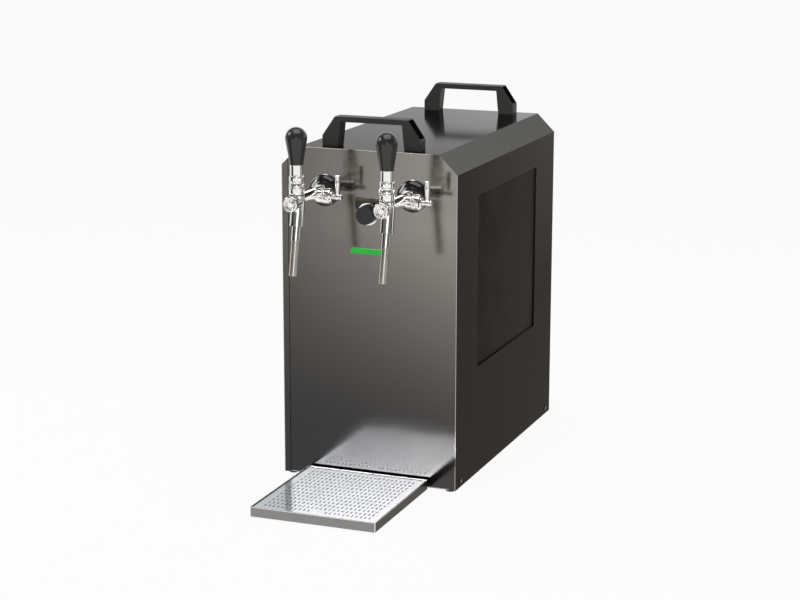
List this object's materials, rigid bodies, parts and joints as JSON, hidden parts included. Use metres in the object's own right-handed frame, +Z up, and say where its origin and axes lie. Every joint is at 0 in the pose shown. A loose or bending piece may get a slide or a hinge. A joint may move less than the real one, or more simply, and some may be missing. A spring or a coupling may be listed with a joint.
{
  "type": "draft beer dispenser",
  "caption": "Countertop draft beer dispenser: folded metal cooler cabinet with vented sides, carry handles, lever taps with flow compensators, and a flat drip tray in front.",
  "frame": {"origin": "centre of the bounding box in plan, on the plane that the feet stand on", "axes": "+Z up, front with the taps and tray towards -Y, +X to the right seen from the front"},
  "size_m": [0.2824, 0.716, 0.558],
  "materials": {
    "cover_steel": "satin, dark brown-grey",
    "front_steel": "dark, near mirror, softly brushed",
    "rear_steel": "satin",
    "mesh_steel": "matte",
    "case_screw_steel": "satin",
    "grip_plastic": "fine grain",
    "galvanised_steel": "galvanised",
    "black_rubber": "matte",
    "green_enamel": "gloss",
    "gloss_black": "gloss",
    "knob_plastic": "satin",
    "chrome": "polished",
    "steel": "satin",
    "ivory_plastic": "plain",
    "fitting_plastic": "plain",
    "rocker_plastic": "gloss, dark green",
    "compressor_paint": "semi-gloss black",
    "aluminium": "cast and rolled",
    "foam": "closed-cell foam",
    "copper": "drawn copper",
    "tube_plastic": "smooth",
    "white_plastic": "smooth",
    "tray_steel": "brushed",
    "grid_steel": "bright, brushed",
    "magnet": "plated"
  },
  "bodies": {
    "cabinet": {"base_pan": "galvanised_steel", "wrap_cover": "cover_steel", "front_panel": "front_steel", "rear_panel": "rear_steel", "left_vent_mesh": "mesh_steel", "right_vent_mesh": "mesh_steel", "front_carry_handle": "grip_plastic", "rear_carry_handle": "grip_plastic", "carry_handle_screws": "case_screw_steel", "case_screws": "case_screw_steel", "rubber_feet": "black_rubber", "accent_strip": "green_enamel", "dial_plate": "gloss_black", "knob_ring": "chrome", "thermostat_body": "ivory_plastic", "power_inlet": "fitting_plastic", "switch_housing": "fitting_plastic", "beer_inlets": "steel", "shelf": "galvanised_steel", "compressor": "compressor_paint", "compressor_mounts": "black_rubber", "condenser": "aluminium", "fan_shroud": "galvanised_steel", "fan_motor": "compressor_paint", "cooling_block": "aluminium", "block_insulation": "foam", "refrigerant_pipes": "copper", "beer_tubes": "tube_plastic", "tap_rosettes": "gloss_black", "shank_nuts": "steel", "barrel_caps": "chrome", "tap_gaskets": "black_rubber", "handle_pins": "steel", "compensator_bonnets": "chrome", "left_tap_shank": "chrome", "left_tap_body": "chrome", "left_tap_bonnet": "chrome", "left_nozzle": "steel", "right_tap_shank": "chrome", "right_tap_body": "chrome", "right_tap_bonnet": "chrome", "right_nozzle": "steel"},
    "left_handle": {"left_tap_lever": "chrome", "left_tap_handle": "gloss_black"},
    "left_piston": {"left_tap_piston": "white_plastic"},
    "left_compensator": {"left_compensator_lever": "chrome"},
    "left_cone": {"left_flow_cone": "white_plastic"},
    "right_handle": {"right_tap_lever": "chrome", "right_tap_handle": "gloss_black"},
    "right_piston": {"right_tap_piston": "white_plastic"},
    "right_compensator": {"right_compensator_lever": "chrome"},
    "right_cone": {"right_flow_cone": "white_plastic"},
    "knob": {"thermostat_knob": "knob_plastic", "thermostat_shaft": "steel"},
    "rocker": {"switch_rocker": "rocker_plastic"},
    "fan": {"fan_rotor": "fitting_plastic"},
    "tray": {"drip_tray": "tray_steel", "tray_pads": "black_rubber", "tray_magnets": "magnet"},
    "grid": {"drip_grid": "grid_steel"}
  },
  "joints": [
    {"name": "left_handle_hinge", "type": "hinge", "parent": "cabinet", "child": "left_handle", "pos_m": [-0.07, -0.2435, 0.471], "axis": [1, 0, 0], "range_deg": [-10, 25]},
    {"name": "left_piston_slide", "type": "slide", "parent": "cabinet", "child": "left_piston", "axis": [0, 1, 0], "range_m": [-0.0034, 0.0084]},
    {"name": "left_compensator_hinge", "type": "hinge", "parent": "cabinet", "child": "left_compensator", "pos_m": [-0.03, -0.187, 0.448], "axis": [1, 0, 0], "range_deg": [-45, 45]},
    {"name": "left_cone_slide", "type": "slide", "parent": "cabinet", "child": "left_cone", "axis": [0, 1, 0], "range_m": [-0.0024, 0.0024]},
    {"name": "right_handle_hinge", "type": "hinge", "parent": "cabinet", "child": "right_handle", "pos_m": [0.07, -0.2435, 0.471], "axis": [1, 0, 0], "range_deg": [-10, 25]},
    {"name": "right_piston_slide", "type": "slide", "parent": "cabinet", "child": "right_piston", "axis": [0, 1, 0], "range_m": [-0.0034, 0.0084]},
    {"name": "right_compensator_hinge", "type": "hinge", "parent": "cabinet", "child": "right_compensator", "pos_m": [0.11, -0.187, 0.448], "axis": [1, 0, 0], "range_deg": [-45, 45]},
    {"name": "right_cone_slide", "type": "slide", "parent": "cabinet", "child": "right_cone", "axis": [0, 1, 0], "range_m": [-0.0024, 0.0024]},
    {"name": "knob_turn", "type": "hinge", "parent": "cabinet", "child": "knob", "pos_m": [0, -0.142, 0.417], "axis": [0, 1, 0], "range_deg": [0, 270]},
    {"name": "rocker_tip", "type": "hinge", "parent": "cabinet", "child": "rocker", "pos_m": [0.034, 0.3298, 0.111], "axis": [1, 0, 0], "range_deg": [0, 16]},
    {"name": "fan_spin", "type": "hinge", "parent": "cabinet", "child": "fan", "pos_m": [0.08, 0.098, 0.298], "axis": [1, 0, 0], "continuous": true},
    {"name": "tray_pull", "type": "slide", "parent": "cabinet", "child": "tray", "axis": [0, -1, 0], "range_m": [0, 0.12]},
    {"name": "grid_lift", "type": "slide", "parent": "tray", "child": "grid", "axis": [0, 0, 1], "range_m": [0, 0.04]}
  ],
  "couplings": [
    {"joint": "left_piston_slide", "follows": "left_handle_hinge", "m_per_rad": 0.019},
    {"joint": "left_cone_slide", "follows": "left_compensator_hinge", "m_per_rad": 0.003},
    {"joint": "right_piston_slide", "follows": "right_handle_hinge", "m_per_rad": 0.019},
    {"joint": "right_cone_slide", "follows": "right_compensator_hinge", "m_per_rad": 0.003}
  ]
}
